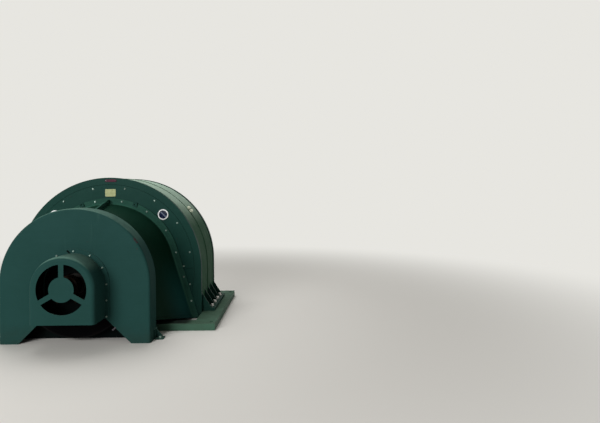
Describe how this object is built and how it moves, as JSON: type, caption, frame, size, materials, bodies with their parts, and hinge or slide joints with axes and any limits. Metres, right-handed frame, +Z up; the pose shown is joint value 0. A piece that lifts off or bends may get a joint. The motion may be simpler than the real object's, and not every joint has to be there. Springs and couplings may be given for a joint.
{
  "type": "horizontal hydroelectric generator with flywheel end",
  "caption": "Horizontal hydroelectric generator on a bedplate: arched stator, bell-shaped hoods, flywheel cover and vented slip ring cover.",
  "frame": {"origin": "on the floor, under the middle of the whole machine's box", "axes": "+Z up, +Y along the shaft from the slip ring end to the coupling end, +X to the right when looking at the slip ring end"},
  "size_m": [2.702, 2.746, 1.709],
  "materials": {
    "green_paint": "satin machine paint, worn at the edges",
    "pale_paint": "satin machine paint, dusty on top",
    "deep_paint": "satin machine paint",
    "bare_steel": "turned",
    "cast_wheel": "machined rim, dark web",
    "ring_bronze": "turned",
    "brush_metal": "dull",
    "white_frame": "matte",
    "dark_glass": "polished"
  },
  "bodies": {
    "root": {"bedplate_front_beam": "pale_paint", "bedplate_rear_beam": "pale_paint", "bedplate_left_rail": "pale_paint", "bedplate_right_rail": "pale_paint", "stator_front_ring": "green_paint", "stator_wrapper_front": "pale_paint", "stator_wrapper_strap": "pale_paint", "stator_wrapper_rear": "pale_paint", "stator_rear_ring": "green_paint", "strap_clamps": "bare_steel", "stator_foot_left": "green_paint", "stator_foot_right": "green_paint", "front_end_shield_upper": "green_paint", "front_end_shield_lower": "green_paint", "rear_end_shield_upper": "green_paint", "rear_end_shield_lower": "green_paint", "window_frame_left": "white_frame", "window_frame_right": "white_frame", "window_glass_left": "dark_glass", "window_glass_right": "dark_glass", "front_hood_left": "deep_paint", "front_hood_right": "deep_paint", "rear_hood_left": "deep_paint", "rear_hood_right": "deep_paint", "lifting_lug_left": "green_paint", "lifting_lug_right": "green_paint", "front_bearing": "bare_steel", "rear_bearing": "bare_steel", "rear_bearing_cap": "deep_paint", "flywheel_cover_rim": "pale_paint", "flywheel_cover_front": "green_paint", "flywheel_cover_back": "deep_paint", "flywheel_cover_foot_left": "green_paint", "flywheel_cover_foot_right": "green_paint", "slip_ring_cover": "green_paint", "shaft": "bare_steel", "flywheel": "cast_wheel", "slip_rings": "ring_bronze", "brush_gear": "brush_metal", "coupling_flange": "bare_steel"}
  },
  "joints": []
}
